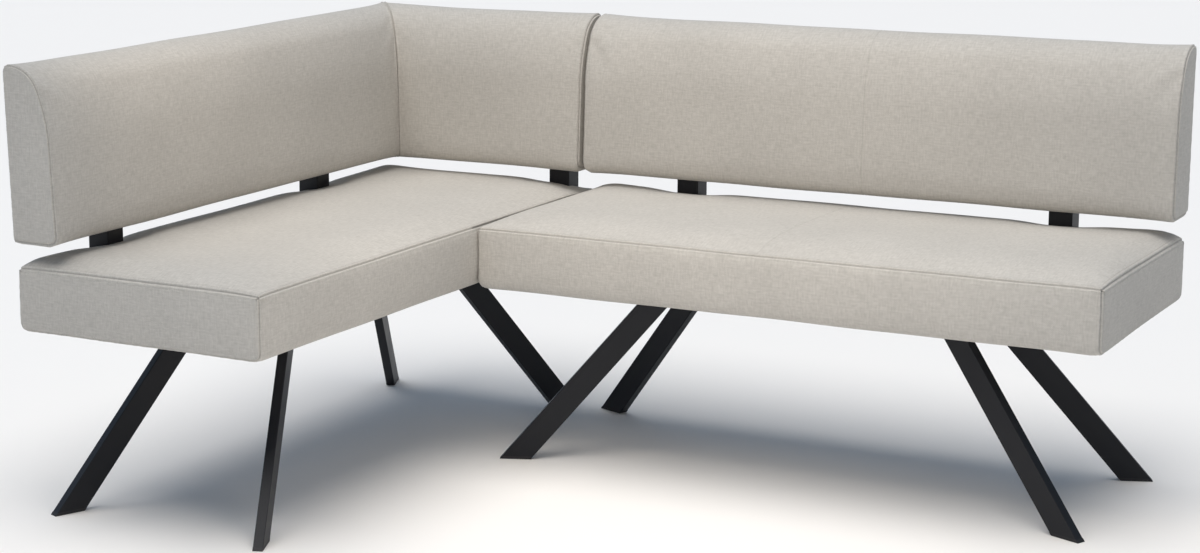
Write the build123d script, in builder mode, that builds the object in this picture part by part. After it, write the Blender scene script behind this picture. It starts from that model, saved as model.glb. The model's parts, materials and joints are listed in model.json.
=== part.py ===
"""Upholstered corner bench: a corner unit and a long unit on splayed flat-tube legs, in millimetres."""
import os
from math import atan2, cos, radians, sin, tan

from build123d import *

# Units in plan
seat_depth = 570.0
corner_length = 1360.0
long_length = 1330.0
unit_gap = 0.6

# Seat cushions
seat_height = 500.0
seat_thickness = 125.0
seat_crown = 12.0
side_bulge = 3.0
seat_top_radius = 11.0
seat_bottom_radius = 13.0
seat_end_radius = 9.0
fabric = 2.0
soft_clearance = 0.3
dust_sheet = 1.0
dust_inset = 42.0

# Seat frames
frame_inset = 12.0
rail_width = 40.0
rail_height = 55.0
rail_chamfer = 5.0
deck_thickness = 12.0
leg_board_width = 136.0
leg_board_thickness = 30.0

# Legs
tube_width = 50.0
tube_thickness = 20.0
tube_wall = 2.0
tube_corner = 1.5
leg_tilt = 40.5
leg_plan_angle = 22.5
foot_end_inset = 35.0
foot_side_inset = 42.0
plate_size = 120.0
plate_thickness = 6.0
plate_corner = 8.0
plate_hole_pitch = 90.0
glide_sole = 6.0
glide_heel_radius = 5.0
glide_plug = 25.0
glide_clearance = 0.2

# Fasteners
bolt_diameter = 8.0
bolt_play = 0.4
bolt_overrun = 2.0
head_across_flats = 13.0
head_height = 5.3
head_relief = 2.0
nut_flange_diameter = 22.0
nut_flange_thickness = 1.5
nut_barrel_diameter = 11.0
nut_barrel_length = 11.0
nut_play = 0.3

# Back posts
post_width = 50.0
post_wall = 2.5
post_corner = 3.0
post_end_plate = 4.0
post_bolt_pitch = 26.0
post_end_distance = 245.0
side_post_distance = 355.0
corner_post_distance = 74.0
post_play = 0.4

# Backrests
back_gap = 52.0
back_height = 342.0
back_thickness = 105.0
back_lean = 15.0
shoulder_height = 240.0
shoulder_setback = 13.0
crest_setback = 53.0
shoulder_radius = 300.0
top_flat = 2.0
rear_top_radius = 14.0
front_bottom_radius = 20.0
rear_bottom_radius = 8.0
back_end_radius = 6.0
back_split = 8.0
back_rail_height = 40.0
back_rail_end = 16.0
board_thickness = 12.0
board_top_margin = 42.0

# Levels
seat_bottom = seat_height - seat_thickness
frame_bottom = seat_bottom + fabric
deck_bottom = frame_bottom + rail_height
deck_top = deck_bottom + deck_thickness
dust_bottom = seat_bottom - dust_sheet
plate_bottom = dust_bottom - plate_thickness
leg_board_top = seat_bottom + leg_board_thickness
back_bottom = seat_height + back_gap
back_rail_bottom = back_bottom + fabric
back_rail_top = back_rail_bottom + back_rail_height

# Shared measures
post_centre = frame_inset + rail_width / 2
bolt_hole = bolt_diameter / 2 + bolt_play
nut_bore = nut_barrel_diameter / 2 + nut_play
tilt = radians(leg_tilt)
plan_angle = radians(leg_plan_angle)
cover_rim = frame_inset + rail_width

os.makedirs("parts", exist_ok=True)


def save(part, node):
    """Label a finished piece and write it under its node's name."""
    part.label = node
    export_step(part, f"parts/{node}.step")


def across(run, station, level=0.0):
    """Plane square to a run at a station: x points forward from the rear edge, y points up."""
    origin = run.from_local_coords((station, 0, level))
    return Plane(origin=origin, x_dir=run.y_dir, z_dir=run.x_dir)


def spot(run, station, forward, level=0.0):
    """Level plane at a place on a run, with its x along the run."""
    origin = run.from_local_coords((station, forward, level))
    return Plane(origin=origin, x_dir=run.x_dir, z_dir=(0, 0, 1))


def pair_spots(post):
    """Places of the two bolts that stand in a post."""
    return [spot(post, side * post_bolt_pitch / 2, 0) for side in (-1, 1)]


def raised(places, level):
    """The same places, on planes at another level."""
    return [place.offset(level) for place in places]


def back_section(plane, inset=0.0):
    """Backrest section: upright foot, leaning rear, swept front shoulder and a rolled crest."""
    shoulder_front = back_thickness - shoulder_setback
    crest_front = back_thickness - crest_setback
    crest_turn = atan2(back_height - shoulder_height, shoulder_front - crest_front)
    rear_turn = atan2(back_height, -back_lean)
    crest_run = crest_front + back_lean - rear_top_radius * tan(rear_turn / 2) - top_flat
    crest_radius = crest_run / tan(crest_turn / 2)
    bottom_radii = (rear_bottom_radius, front_bottom_radius)
    with BuildSketch(plane) as section:
        with BuildLine():
            FilletPolyline(
                (0, 0),
                (back_thickness, 0),
                (shoulder_front, shoulder_height),
                (crest_front, back_height),
                (-back_lean, back_height),
                radius=(*bottom_radii, shoulder_radius, crest_radius, rear_top_radius),
                close=True,
            )
        make_face()
        if inset:
            offset(amount=-inset, mode=Mode.REPLACE)
    return section.sketch


# Runs: local x along the seat, local y forward from its rear edge, origin of the part under the box's middle
rear_overhang = -back_section(Plane.XY).bounding_box().min.X
overall_width = rear_overhang + seat_depth + unit_gap + long_length
overall_depth = rear_overhang + corner_length
corner_x = rear_overhang - overall_width / 2
corner_y = overall_depth / 2 - rear_overhang
corner_run = Plane(origin=(corner_x, corner_y, 0), x_dir=(0, -1, 0), z_dir=(0, 0, 1))
rear_run = Plane(origin=(corner_x + seat_depth, corner_y, 0), x_dir=(-1, 0, 0), z_dir=(0, 0, 1))
long_run = Plane(origin=(overall_width / 2, corner_y, 0), x_dir=(-1, 0, 0), z_dir=(0, 0, 1))
mitre = Plane(origin=(corner_x, corner_y, 0), z_dir=(1, 1, 0))

# Back posts in plan
side_posts = {
    "side_post_front": spot(corner_run, corner_length - post_end_distance, post_centre),
    "side_post_rear": spot(corner_run, side_post_distance, post_centre),
}
corner_posts = {"corner_post": spot(rear_run, corner_post_distance, post_centre)}
long_posts = {
    "long_post_left": spot(long_run, long_length - post_end_distance, post_centre),
    "long_post_right": spot(long_run, post_end_distance, post_centre),
}
units = {
    "corner": (corner_run, corner_length, {**side_posts, **corner_posts}),
    "long": (long_run, long_length, long_posts),
}


def post_bolt_spots(posts):
    """Places of every bolt in a group of posts."""
    return [place for post in posts.values() for place in pair_spots(post)]


def leg_places(run, length):
    """Foot centre of each leg with its outward direction, in the run's own plan coordinates."""
    half_foot = tube_width / cos(tilt) / 2
    places = []
    for end, station in ((-1, foot_end_inset), (1, length - foot_end_inset)):
        for side, forward in ((-1, foot_side_inset), (1, seat_depth - foot_side_inset)):
            out_along = end * cos(plan_angle)
            out_across = side * sin(plan_angle)
            centre = (station - half_foot * out_along, forward - half_foot * out_across)
            places.append((centre, (out_along, out_across)))
    return places


def leg_centre(place, level):
    """Where a leg's middle line passes a level, in the run's plan coordinates."""
    (station, forward), (out_along, out_across) = place
    shift = level * tan(tilt)
    return station - shift * out_along, forward - shift * out_across


def leg_section(run, place, level):
    """Level plane through a leg, with its x pointing outward along the lean."""
    out_along, out_across = place[1]
    origin = run.from_local_coords((*leg_centre(place, level), level))
    return Plane(origin=origin, x_dir=run.x_dir * out_along + run.y_dir * out_across, z_dir=(0, 0, 1))


def plate_place(run, place):
    """Centre of a leg's mounting plate, square to the seat."""
    return spot(run, *leg_centre(place, plate_bottom))


def plate_bolt_spots(run, place):
    """Places of the four bolts in a leg's mounting plate."""
    centre = plate_place(run, place)
    reach = plate_hole_pitch / 2
    return [spot(centre, x * reach, y * reach) for x in (-1, 1) for y in (-1, 1)]


def cushion(run, length, inset=0.0):
    """Boxed seat cushion: crowned top, sides that swell between the seams, rounded edges."""
    low = seat_bottom + inset
    high = seat_height - inset
    middle = (low + high) / 2
    rear_seam = inset + side_bulge
    front_seam = seat_depth - inset - side_bulge
    with BuildPart() as body:
        with BuildSketch(across(run, inset)) as section:
            with BuildLine():
                Line((rear_seam, low), (front_seam, low))
                ThreePointArc((front_seam, low), (seat_depth - inset, middle), (front_seam, high))
                ThreePointArc((front_seam, high), (seat_depth / 2, high + seat_crown), (rear_seam, high))
                ThreePointArc((rear_seam, high), (inset, middle), (rear_seam, low))
            make_face()
            fillet(section.vertices().group_by(Axis.Y)[0], seat_bottom_radius - inset)
            fillet(section.vertices().group_by(Axis.Y)[-1], seat_top_radius - inset)
        extrude(amount=length - 2 * inset)
        ends = body.faces().sort_by(Axis(run.origin, run.x_dir))
        fillet(ends[0].edges() + ends[-1].edges(), seat_end_radius - inset)
    return body.part


def frame_block(run, length, margin, low, high):
    """Rectangular block over a seat's plan, drawn in by a margin on every side."""
    with BuildPart() as body:
        with BuildSketch(spot(run, length / 2, seat_depth / 2, low)):
            Rectangle(length - 2 * margin, seat_depth - 2 * margin)
        extrude(amount=high - low)
    return body.part


def build_seat(unit):
    """Cover, foam, deck, rails, leg boards and dust sheet of one seat."""
    run, length, posts = units[unit]
    bolts = post_bolt_spots(posts)
    legs = leg_places(run, length)
    leg_bolts_here = [bolt for place in legs for bolt in plate_bolt_spots(run, place)]
    skin = cushion(run, length)
    hollow = cushion(run, length, fabric)
    filling = cushion(run, length, fabric + soft_clearance)
    opening = frame_block(run, length, cover_rim, seat_bottom, frame_bottom)
    frame = frame_block(run, length, frame_inset, seat_bottom, deck_top)

    with BuildPart() as cover:
        add(skin)
        add(hollow, mode=Mode.SUBTRACT)
        add(opening, mode=Mode.SUBTRACT)
        with BuildSketch(*raised(posts.values(), deck_top)):
            Rectangle(post_width + 2 * post_play, post_width + 2 * post_play)
        extrude(amount=seat_height, mode=Mode.SUBTRACT)
        with BuildSketch(*raised(bolts, seat_bottom)):
            Circle(head_across_flats / 2 + head_relief)
        extrude(amount=fabric, mode=Mode.SUBTRACT)
    save(cover.part, f"{unit}_seat_cover")

    with BuildPart() as foam:
        add(filling)
        add(frame, mode=Mode.SUBTRACT)
        with BuildSketch(*raised(posts.values(), deck_top)):
            Rectangle(post_width + 2 * post_play, post_width + 2 * post_play)
        extrude(amount=seat_height, mode=Mode.SUBTRACT)
    save(foam.part, f"{unit}_seat_foam")

    with BuildPart() as deck:
        with BuildSketch(spot(run, length / 2, seat_depth / 2, deck_bottom)):
            Rectangle(length - 2 * frame_inset, seat_depth - 2 * frame_inset)
        extrude(amount=deck_thickness)
        with Locations(*raised(bolts, deck_top)):
            Hole(bolt_hole, depth=deck_thickness)
    save(deck.part, f"{unit}_seat_deck")

    rail_rows = {"rear": frame_inset + rail_width / 2, "front": seat_depth - frame_inset - rail_width / 2}
    for row, forward in rail_rows.items():
        with BuildPart() as rail:
            with BuildSketch(spot(run, length / 2, forward, frame_bottom)):
                Rectangle(length - 2 * frame_inset, rail_width)
            extrude(amount=rail_height)
            chamfer(rail.edges().filter_by(Axis(run.origin, run.x_dir)).group_by(Axis.Z)[0], rail_chamfer)
            if row == "rear":
                with Locations(*raised(post_bolt_spots(rear_rail_posts[unit]), deck_bottom)):
                    Hole(bolt_hole, depth=rail_height)
        save(rail.part, f"{unit}_seat_{row}_rail")

    between_rails = seat_depth - 2 * (frame_inset + rail_width)
    end_stations = [frame_inset + rail_width / 2, length - frame_inset - rail_width / 2]
    with BuildPart() as end_rails:
        with BuildSketch(*[spot(run, station, seat_depth / 2, frame_bottom) for station in end_stations]):
            Rectangle(rail_width, between_rails)
        extrude(amount=rail_height)
        if unit == "corner":
            with Locations(*raised(post_bolt_spots(corner_posts), deck_bottom)):
                Hole(bolt_hole, depth=rail_height)
    save(end_rails.part, f"{unit}_seat_end_rails")

    board_stations = sorted({round(leg_centre(place, plate_bottom)[0], 6) for place in legs})
    with BuildPart() as leg_boards:
        with BuildSketch(*[spot(run, station, seat_depth / 2, seat_bottom) for station in board_stations]):
            Rectangle(leg_board_width, between_rails)
        extrude(amount=leg_board_thickness)
        with Locations(*raised(leg_bolts_here, leg_board_top)):
            CounterBoreHole(bolt_hole, nut_bore, nut_barrel_length, leg_board_thickness)
    save(leg_boards.part, f"{unit}_seat_leg_boards")

    with BuildPart() as dust_cover:
        with BuildSketch(spot(run, length / 2, seat_depth / 2, dust_bottom)):
            Rectangle(length - 2 * dust_inset, seat_depth - 2 * dust_inset)
        extrude(amount=dust_sheet)
        with Locations(*raised(leg_bolts_here, seat_bottom)):
            Hole(bolt_hole, depth=dust_sheet)
    save(dust_cover.part, f"{unit}_seat_dust_cover")


def build_legs(unit):
    """Tubes, mounting plates and glides of one unit's four legs."""
    run, length, _ = units[unit]
    stretch = 1 / cos(tilt)
    for number, place in enumerate(leg_places(run, length), start=1):
        foot = leg_section(run, place, 0)
        ankle = leg_section(run, place, glide_sole)
        slant = foot.z_dir * cos(tilt) - foot.x_dir * sin(tilt)
        bore_width = tube_width - 2 * tube_wall
        bore_thickness = tube_thickness - 2 * tube_wall

        with BuildPart() as leg:
            with BuildSketch(ankle):
                Rectangle(tube_width * stretch, tube_thickness)
            extrude(amount=(plate_bottom - glide_sole) * stretch, dir=slant)
            fillet(leg.edges().filter_by(Axis((0, 0, 0), slant)), tube_corner)
            with BuildSketch(ankle):
                Rectangle(bore_width * stretch, bore_thickness)
            extrude(amount=(plate_bottom - glide_sole) * stretch, dir=slant, mode=Mode.SUBTRACT)
        save(leg.part, f"{unit}_leg_{number}")

        with BuildPart() as glide:
            with BuildSketch(foot):
                Rectangle(tube_width * stretch, tube_thickness)
            extrude(amount=glide_sole * stretch, dir=slant)
            heel = glide.edges().group_by(Axis.Z)[0].sort_by(Axis(foot.origin, foot.x_dir))[0]
            fillet(heel, glide_heel_radius)
            with BuildSketch(ankle):
                Rectangle((bore_width - 2 * glide_clearance) * stretch, bore_thickness - 2 * glide_clearance)
            extrude(amount=glide_plug * stretch, dir=slant)
        save(glide.part, f"{unit}_glide_{number}")

        with BuildPart() as plate:
            with BuildSketch(plate_place(run, place).offset(plate_bottom)):
                RectangleRounded(plate_size, plate_size, plate_corner)
            extrude(amount=plate_thickness)
            with Locations(*raised(plate_bolt_spots(run, place), dust_bottom)):
                Hole(bolt_hole, depth=plate_thickness)
        save(plate.part, f"{unit}_leg_plate_{number}")


def bolts(places, head_top, end):
    """Hexagon bolts with their heads under a level and their ends at another."""
    with BuildPart() as group:
        with BuildSketch(*raised(places, head_top - head_height)):
            RegularPolygon(head_across_flats / 2, 6, major_radius=False)
        extrude(amount=head_height)
        with BuildSketch(*raised(places, head_top)):
            Circle(bolt_diameter / 2)
        extrude(amount=end - head_top)
    return group.part


def build_post(node, place):
    """Square tube closed by end plates, standing on the deck under a back rail."""
    with BuildPart() as post:
        with BuildSketch(place.offset(deck_top)):
            RectangleRounded(post_width, post_width, post_corner)
        extrude(amount=back_rail_bottom - deck_top)
        with BuildSketch(place.offset(deck_top + post_end_plate)):
            Rectangle(post_width - 2 * post_wall, post_width - 2 * post_wall)
        extrude(amount=back_rail_bottom - deck_top - 2 * post_end_plate, mode=Mode.SUBTRACT)
        with Locations(*raised(pair_spots(place), back_rail_bottom)):
            Hole(bolt_hole, depth=back_rail_bottom - deck_top)
    save(post.part, node)


def back_body(run, start, stop, inset, rounded, keep=None):
    """Backrest body along a run, with rounded free ends and, at the corner, a mitred one."""
    with BuildPart() as body:
        extrude(back_section(across(run, start, back_bottom), inset), amount=stop - start)
        ends = body.faces().sort_by(Axis(run.origin, run.x_dir))
        fillet([edge for end in rounded for edge in ends[end].edges()], back_end_radius - inset)
        if keep:
            split(bisect_by=mitre, keep=keep)
    return body.part


def back_rail(run, start, stop, posts, keep=None):
    """Timber rail along the foot of a backrest, bored for the tee nuts."""
    with BuildPart() as rail:
        with BuildSketch(spot(run, (start + stop) / 2, post_centre, back_rail_bottom)):
            Rectangle(stop - start, post_width)
        extrude(amount=back_rail_height)
        chamfer(rail.edges().filter_by(Axis(run.origin, run.x_dir)).group_by(Axis.Z)[0], rail_chamfer)
        with Locations(*raised(post_bolt_spots(posts), back_rail_top)):
            CounterBoreHole(bolt_hole, nut_bore, nut_barrel_length, back_rail_height)
        if keep:
            split(bisect_by=mitre, keep=keep)
    return rail.part


def back_board(run, start, stop, keep=None):
    """Plywood board that stands on the rail and leans with the rear face."""
    foot = fabric + back_rail_height
    head = back_height - board_top_margin
    foot_rear = fabric + soft_clearance - back_lean * foot / back_height
    head_rear = fabric + soft_clearance - back_lean * head / back_height
    with BuildPart() as board:
        with BuildSketch(across(run, start, back_bottom)):
            with BuildLine():
                Polyline(
                    (foot_rear, foot),
                    (foot_rear + board_thickness, foot),
                    (head_rear + board_thickness, head),
                    (head_rear, head),
                    close=True,
                )
            make_face()
        extrude(amount=stop - start)
        if keep:
            split(bisect_by=mitre, keep=keep)
    return board.part


def back_foam(body, rail, board, posts):
    """Foam that fills a backrest round its rail and board, with room for the tee nuts."""
    with BuildPart() as foam:
        add(body)
        add(rail, mode=Mode.SUBTRACT)
        add(board, mode=Mode.SUBTRACT)
        with BuildSketch(*raised(post_bolt_spots(posts), back_rail_bottom)):
            Circle(nut_flange_diameter / 2 + nut_play)
        extrude(amount=back_rail_height + bolt_overrun + nut_play, mode=Mode.SUBTRACT)
    return foam.part


def back_cover(skins, hollows, posts):
    """Sewn cover round a backrest, with a slot under it for each post."""
    with BuildPart() as cover:
        for skin in skins:
            add(skin)
        for hollow in hollows:
            add(hollow, mode=Mode.SUBTRACT)
        with BuildSketch(*raised(posts.values(), back_bottom)):
            Rectangle(post_width + 2 * post_play, post_width + 2 * post_play)
        extrude(amount=fabric, mode=Mode.SUBTRACT)
    return cover.part


rear_rail_posts = {"corner": side_posts, "long": long_posts}
for unit_name in units:
    build_seat(unit_name)
    build_legs(unit_name)

# Fasteners
leg_bolt_spots = [
    bolt
    for run, length, _ in units.values()
    for place in leg_places(run, length)
    for bolt in plate_bolt_spots(run, place)
]
all_posts = {**side_posts, **corner_posts, **long_posts}
all_post_bolts = post_bolt_spots(all_posts)
save(bolts(leg_bolt_spots, plate_bottom, leg_board_top + bolt_overrun), "leg_bolts")
save(bolts(all_post_bolts, frame_bottom, back_rail_top + bolt_overrun), "post_bolts")
nut_seats = raised(leg_bolt_spots, leg_board_top) + raised(all_post_bolts, back_rail_top)
with BuildPart() as tee_nuts:
    with BuildSketch(*nut_seats):
        Circle(nut_flange_diameter / 2)
    extrude(amount=nut_flange_thickness)
    with BuildSketch(*nut_seats):
        Circle(nut_barrel_diameter / 2)
    extrude(amount=-nut_barrel_length)
    with BuildSketch(*raised(nut_seats, nut_flange_thickness)):
        Circle(bolt_hole)
    extrude(amount=-nut_flange_thickness - nut_barrel_length, mode=Mode.SUBTRACT)
save(tee_nuts.part, "tee_nuts")

for post_name, post_place in all_posts.items():
    build_post(post_name, post_place)

# Corner backrest: a side run and a rear run that meet in a mitre
beyond_corner = rear_overhang + back_thickness
foam_inset = fabric + soft_clearance


def side_body(inset):
    """Side run of the corner backrest."""
    return back_body(corner_run, -beyond_corner, corner_length - inset, inset, (-1,), Keep.BOTTOM)


def rear_body(inset):
    """Rear run of the corner backrest."""
    return back_body(rear_run, inset, seat_depth + beyond_corner, inset, (0,), Keep.TOP)


side_stop = corner_length - back_rail_end
rear_stop = seat_depth + beyond_corner
side_rail = back_rail(corner_run, -beyond_corner, side_stop, side_posts, Keep.BOTTOM)
rear_rail = back_rail(rear_run, back_rail_end, rear_stop, corner_posts, Keep.TOP)
side_board = back_board(corner_run, -beyond_corner, side_stop, Keep.BOTTOM)
rear_board = back_board(rear_run, back_rail_end, rear_stop, Keep.TOP)
save(side_rail, "corner_back_side_rail")
save(rear_rail, "corner_back_rear_rail")
save(side_board, "corner_back_side_board")
save(rear_board, "corner_back_rear_board")
save(back_foam(side_body(foam_inset), side_rail, side_board, side_posts), "corner_back_side_foam")
save(back_foam(rear_body(foam_inset), rear_rail, rear_board, corner_posts), "corner_back_rear_foam")
corner_skins = [side_body(0), rear_body(0)]
corner_hollows = [side_body(fabric), rear_body(fabric)]
save(back_cover(corner_skins, corner_hollows, {**side_posts, **corner_posts}), "corner_back_cover")

# Long backrest: a straight run, open to the corner run by a narrow split
long_stop = long_length - back_split


def long_body(inset):
    """Straight run of the long backrest."""
    return back_body(long_run, inset, long_stop - inset, inset, (0, -1))


long_rail = back_rail(long_run, back_rail_end, long_stop - back_rail_end, long_posts)
long_board = back_board(long_run, back_rail_end, long_stop - back_rail_end)
save(long_rail, "long_back_rail")
save(long_board, "long_back_board")
save(back_foam(long_body(foam_inset), long_rail, long_board, long_posts), "long_back_foam")
save(back_cover([long_body(0)], [long_body(fabric)], long_posts), "long_back_cover")
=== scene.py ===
"""Dressed corner bench: sewn cushions, stitching, finishes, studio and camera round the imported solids."""
import json
import logging
import math
from dataclasses import dataclass, replace
from enum import Enum, IntEnum
from typing import Any

import bmesh
import bpy
import numpy as np
from mathutils import Matrix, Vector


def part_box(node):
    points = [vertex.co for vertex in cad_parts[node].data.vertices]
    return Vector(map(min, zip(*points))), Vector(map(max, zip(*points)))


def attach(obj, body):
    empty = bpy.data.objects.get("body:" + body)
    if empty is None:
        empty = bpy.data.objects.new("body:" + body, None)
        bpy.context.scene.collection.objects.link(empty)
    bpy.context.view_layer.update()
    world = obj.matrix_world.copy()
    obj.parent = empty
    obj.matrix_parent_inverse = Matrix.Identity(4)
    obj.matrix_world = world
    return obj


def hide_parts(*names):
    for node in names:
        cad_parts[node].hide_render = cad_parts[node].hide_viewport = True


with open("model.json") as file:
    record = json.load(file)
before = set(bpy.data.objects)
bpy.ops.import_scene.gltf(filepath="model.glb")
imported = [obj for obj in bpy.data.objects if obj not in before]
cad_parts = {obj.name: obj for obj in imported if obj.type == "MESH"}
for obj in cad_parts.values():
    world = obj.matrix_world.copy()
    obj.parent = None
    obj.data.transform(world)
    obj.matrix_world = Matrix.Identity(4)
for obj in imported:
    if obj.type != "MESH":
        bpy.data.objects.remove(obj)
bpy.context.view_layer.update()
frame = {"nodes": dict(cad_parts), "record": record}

MM = 0.001
LOG = logging.getLogger("corner_bench")

# Sockets of Blender's mix node for colours, and the turns of its wave texture at a scale of one.
MIX_SHARE, MIX_A, MIX_B, MIX_OUT = 0, 6, 7, 2
WAVE_TURNS = 20


def linear(code: str) -> tuple[float, float, float, float]:
    """Turn an sRGB hex colour into linear light.

    Args:
        code: colour written as #RRGGBB.

    Returns:
        Linear red, green and blue, and an alpha of one.
    """
    parts = [int(code[start:start + 2], 16) / 255 for start in (1, 3, 5)]
    light = [part / 12.92 if part <= 0.04045 else ((part + 0.055) / 1.055) ** 2.4 for part in parts]
    return (light[0], light[1], light[2], 1.0)


def add_node(tree: Any, kind: str, inputs: dict[Any, Any], out: Any = 0, **settings: Any) -> Any:
    """Add a shader node, set it and link it.

    Args:
        tree: node tree that gets the node.
        kind: Blender's name of the node type, without its leading ShaderNode.
        inputs: socket name or number to a value, or to another node's output.
        out: name or number of the output that is wanted.
        settings: properties of the node.

    Returns:
        The wanted output, or None where the node has no outputs.
    """
    node = tree.nodes.new("ShaderNode" + kind)
    for name, value in settings.items():
        setattr(node, name, value)
    for socket, value in inputs.items():
        if isinstance(value, bpy.types.NodeSocket):
            tree.links.new(value, node.inputs[socket])
        else:
            node.inputs[socket].default_value = value
    return node.outputs[out] if node.outputs else None


class Finish:
    """A named procedural material, made once and shared by its pieces."""

    title = "finish"

    def shader(self, tree: Any) -> Any:
        """Build the nodes and return the shader's output."""
        raise NotImplementedError

    def material(self) -> Any:
        """Look the material up, and build it at its first use.

        Returns:
            The material.
        """
        made = bpy.data.materials.get(self.title)
        if made is None:
            made = bpy.data.materials.new(self.title)
            made.use_nodes = True
            made.node_tree.nodes.clear()
            add_node(made.node_tree, "OutputMaterial", {"Surface": self.shader(made.node_tree)})
        return made


@dataclass(frozen=True)
class MelangeWeave(Finish):
    """Polyester cloth, plain-woven from mixed pale and grey yarns: matt, with a soft nap at the edges."""

    title: str = "melange_plain_weave"
    pale: str = "#C5C1BA"
    grey: str = "#B0ACA5"
    yarn: float = 1.9 * MM
    slub: float = 11.0 * MM
    patch: float = 210.0 * MM
    checker: float = 0.16
    ridge: float = 0.6

    def shader(self, tree: Any) -> Any:
        """Cross the yarns in a checker, with slubs both ways. Yarns are drawn twice as coarse as they are.

        Args:
            tree: node tree of the material.

        Returns:
            The shader's output.
        """
        cloth = add_node(tree, "UVMap", {}, uv_map="cloth")
        slubs, waves = [], []
        for axis, scale in enumerate(((1 / self.yarn, 1 / self.slub, 1), (1 / self.slub, 1 / self.yarn, 1))):
            drawn = add_node(tree, "Mapping", {"Vector": cloth, "Scale": scale})
            noise = {"Vector": drawn, "Scale": 0.55, "Detail": 3.0, "Roughness": 0.75}
            slubs.append(add_node(tree, "TexNoise", noise))
            part = add_node(tree, "SeparateXYZ", {0: cloth}, axis)
            turn = add_node(tree, "Math", {0: part, 1: math.pi / self.yarn}, operation="MULTIPLY")
            waves.append(add_node(tree, "Math", {0: turn}, operation="SINE"))
        slub = add_node(tree, "Math", {0: slubs[0], 1: slubs[1]}, operation="ADD")
        slub = add_node(tree, "MapRange", {"Value": slub, "From Min": 0.75, "From Max": 1.25})
        weave = add_node(tree, "Math", {0: waves[0], 1: waves[1]}, operation="MULTIPLY")
        tone = {0: weave, 1: self.checker, 2: slub}
        tone = add_node(tree, "Math", tone, operation="MULTIPLY_ADD", use_clamp=True)
        inks = {MIX_SHARE: tone, MIX_A: linear(self.grey), MIX_B: linear(self.pale)}
        colour = add_node(tree, "Mix", inks, MIX_OUT, data_type="RGBA")
        where = add_node(tree, "TexCoord", {}, "Object")
        noise = {"Vector": where, "Scale": 1 / self.patch, "Detail": 4.0, "Roughness": 0.6}
        cloud = add_node(tree, "TexNoise", noise)
        # The first shade is a slow random tone. The second is painted shade: the cloth's colour is drawn
        # darker along its seams, read from each point's seam shade.
        painted_seam_shade = add_node(tree, "Attribute", {}, "Fac", attribute_name="painted_seam_shade")
        shades = (
            {"Value": cloud, "From Min": 0.3, "From Max": 0.7, "To Min": 0.96, "To Max": 1.03},
            {"Value": painted_seam_shade, "To Min": 1.0, "To Max": 0.35},
        )
        for shade in shades:
            inks = {MIX_SHARE: 1.0, MIX_A: colour, MIX_B: add_node(tree, "MapRange", shade)}
            colour = add_node(tree, "Mix", inks, MIX_OUT, data_type="RGBA", blend_type="MULTIPLY")
        height = add_node(tree, "Math", {0: weave, 1: self.ridge, 2: slub}, operation="MULTIPLY_ADD")
        bump = add_node(tree, "Bump", {"Height": height, "Strength": 0.35, "Distance": 0.5 * MM})
        nap = {"Sheen Weight": 0.1, "Sheen Roughness": 0.45, "Specular IOR Level": 0.25}
        surface = {"Base Color": colour, "Roughness": 0.92, "Normal": bump, **nap}
        return add_node(tree, "BsdfPrincipled", surface)


@dataclass(frozen=True)
class SewingThread(Finish):
    """Bonded polyester thread, twisted: pale, with a faint gloss along each stitch."""

    title: str = "polyester_thread"
    colour: str = "#BAB5AE"
    twist: float = 0.9 * MM

    def shader(self, tree: Any) -> Any:
        """Draw bands across the thread for its twist.

        Args:
            tree: node tree of the material.

        Returns:
            The shader's output.
        """
        where = add_node(tree, "TexCoord", {}, "Object")
        wave = {"Vector": where, "Scale": 1 / (self.twist * WAVE_TURNS), "Distortion": 1.5}
        band = add_node(tree, "TexWave", wave, "Fac", bands_direction="DIAGONAL")
        shade = add_node(tree, "MapRange", {"Value": band, "To Min": 0.85, "To Max": 1.0})
        inks = {MIX_SHARE: 1.0, MIX_A: linear(self.colour), MIX_B: shade}
        colour = add_node(tree, "Mix", inks, MIX_OUT, data_type="RGBA", blend_type="MULTIPLY")
        surface = {"Base Color": colour, "Roughness": 0.55, "Sheen Weight": 0.1}
        return add_node(tree, "BsdfPrincipled", surface)


@dataclass(frozen=True)
class PowderCoat(Finish):
    """Black polyester powder coat on steel tube: satin, with fine orange peel and paler rubbed patches."""

    title: str = "black_powder_coat"
    colour: str = "#131418"
    rubbed: str = "#1B1C21"
    peel: float = 1.6 * MM
    patch: float = 70.0 * MM

    def shader(self, tree: Any) -> Any:
        """Break the highlights with orange peel, which is drawn a little coarser than it is.

        Args:
            tree: node tree of the material.

        Returns:
            The shader's output.
        """
        where = add_node(tree, "TexCoord", {}, "Object")
        peel = add_node(tree, "TexNoise", {"Vector": where, "Scale": 1 / self.peel, "Detail": 2.0})
        patch = add_node(tree, "TexNoise", {"Vector": where, "Scale": 1 / self.patch, "Detail": 4.0})
        inks = {MIX_SHARE: patch, MIX_A: linear(self.colour), MIX_B: linear(self.rubbed)}
        colour = add_node(tree, "Mix", inks, MIX_OUT, data_type="RGBA")
        rough = add_node(tree, "MapRange", {"Value": patch, "To Min": 0.38, "To Max": 0.54})
        bump = add_node(tree, "Bump", {"Height": peel, "Strength": 0.18, "Distance": 0.2 * MM})
        surface = {"Base Color": colour, "Roughness": rough, "Specular IOR Level": 0.3, "Normal": bump}
        return add_node(tree, "BsdfPrincipled", surface)


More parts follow.
